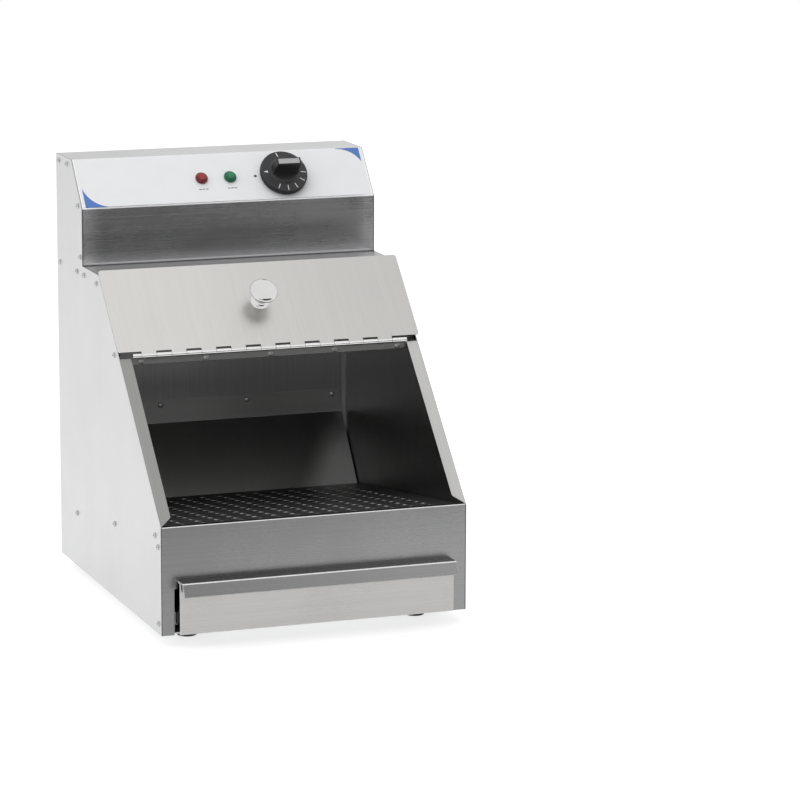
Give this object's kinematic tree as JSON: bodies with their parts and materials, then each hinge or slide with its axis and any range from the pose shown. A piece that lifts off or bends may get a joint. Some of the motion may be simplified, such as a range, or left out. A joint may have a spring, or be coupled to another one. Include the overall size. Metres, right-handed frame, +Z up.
{
  "type": "countertop chip warmer",
  "caption": "Steel counter cabinet keeping chips warm: hinged filling hatch, sloping serving mouth, perforated deck over a crumb drawer, and a control box with thermostat dial and pilot lamps.",
  "frame": {"origin": "middle of the bounding box seen from above, on the surface that the feet stand on", "axes": "+X to the right as the user faces the serving mouth, +Y towards the rear panel, +Z up"},
  "size_m": [0.3482, 0.4466, 0.4789],
  "materials": {
    "steel": "satin brushed stainless steel",
    "steel_dark": "brushed stainless steel that mirrors a dark room",
    "steel_inner": "plain inner steel, shaded",
    "hinge_steel": "bright rolled stainless steel",
    "zinc_steel": "zinc-plated steel",
    "fastener": "bright stainless steel",
    "rivet": "plain aluminium",
    "deck": "dark satin coating, bright worn hole rims",
    "fascia": "white printed film with blue corners",
    "mark": "dark print",
    "knob": "polished",
    "dial": "black satin moulding with white marks",
    "insert": "brushed silver strip",
    "red_lens": "clear red",
    "green_lens": "clear green",
    "lamp_body": "black moulding",
    "thermostat": "cream phenolic moulding",
    "capillary": "dull copper",
    "brass": "plain brass",
    "rubber": "black rubber",
    "element": "heat-dulled sheath",
    "reflector": "bright sheet",
    "guard": "plated wire",
    "terminal": "off-white polyamide",
    "gland": "black polyamide",
    "wire": "silicone sleeving"
  },
  "bodies": {
    "cabinet": {"left_side_panel": "steel", "right_side_panel": "steel", "front_panel": "steel", "rear_panel": "steel_inner", "base_plate": "zinc_steel", "roof_shelf": "steel_dark", "control_cover": "steel_dark", "control_fascia": "fascia", "index_dot": "mark", "hatch_buffers": "rubber", "hinge_leaf": "hinge_steel", "hinge_pin": "hinge_steel", "hinge_rail": "steel_inner", "hinge_rivets": "rivet", "perforated_deck": "deck", "left_deck_runner": "steel_inner", "right_deck_runner": "steel_inner", "rear_chute": "steel_inner", "chute_rivets": "rivet", "left_drawer_runner": "zinc_steel", "right_drawer_runner": "zinc_steel", "foot_fasteners": "zinc_steel", "side_screws": "fastener", "base_rivets": "rivet", "rear_panel_screws": "fastener", "red_lamp_lens": "red_lens", "green_lamp_lens": "green_lens", "red_lamp_body": "lamp_body", "green_lamp_body": "lamp_body", "thermostat_body": "thermostat", "thermostat_screws": "fastener", "thermostat_bulb": "capillary", "capillary_grommet": "rubber", "bulb_clips": "zinc_steel", "heating_element": "element", "element_nuts": "brass", "heat_reflector": "reflector", "element_brackets": "zinc_steel", "element_guard": "guard", "terminal_block": "terminal", "terminal_screws": "fastener", "cable_gland": "gland", "gland_locknut": "gland", "wiring_loom": "wire", "foot_front_left": "rubber", "foot_front_right": "rubber", "foot_rear_left": "rubber", "foot_rear_right": "rubber"},
    "hatch": {"hatch_door": "steel", "hatch_knob": "knob", "knob_screw": "fastener"},
    "dial": {"dial": "dial", "dial_insert": "insert", "dial_spindle": "zinc_steel"},
    "drawer": {"drawer_front": "steel", "drawer_handle": "steel", "drawer_pan": "steel_inner"}
  },
  "joints": [
    {"name": "hatch_hinge", "type": "hinge", "parent": "cabinet", "child": "hatch", "pos_m": [0, -0.04857, 0.28665], "axis": [1, 0, 0], "range_deg": [0, 175]},
    {"name": "dial_turn", "type": "hinge", "parent": "cabinet", "child": "dial", "pos_m": [0.0695, 0.11756, 0.45301], "axis": [0, 0.7695, -0.6387], "range_deg": [0, 280]},
    {"name": "drawer_slide", "type": "slide", "parent": "cabinet", "child": "drawer", "axis": [0, -1, 0], "range_m": [0, 0.24]}
  ]
}
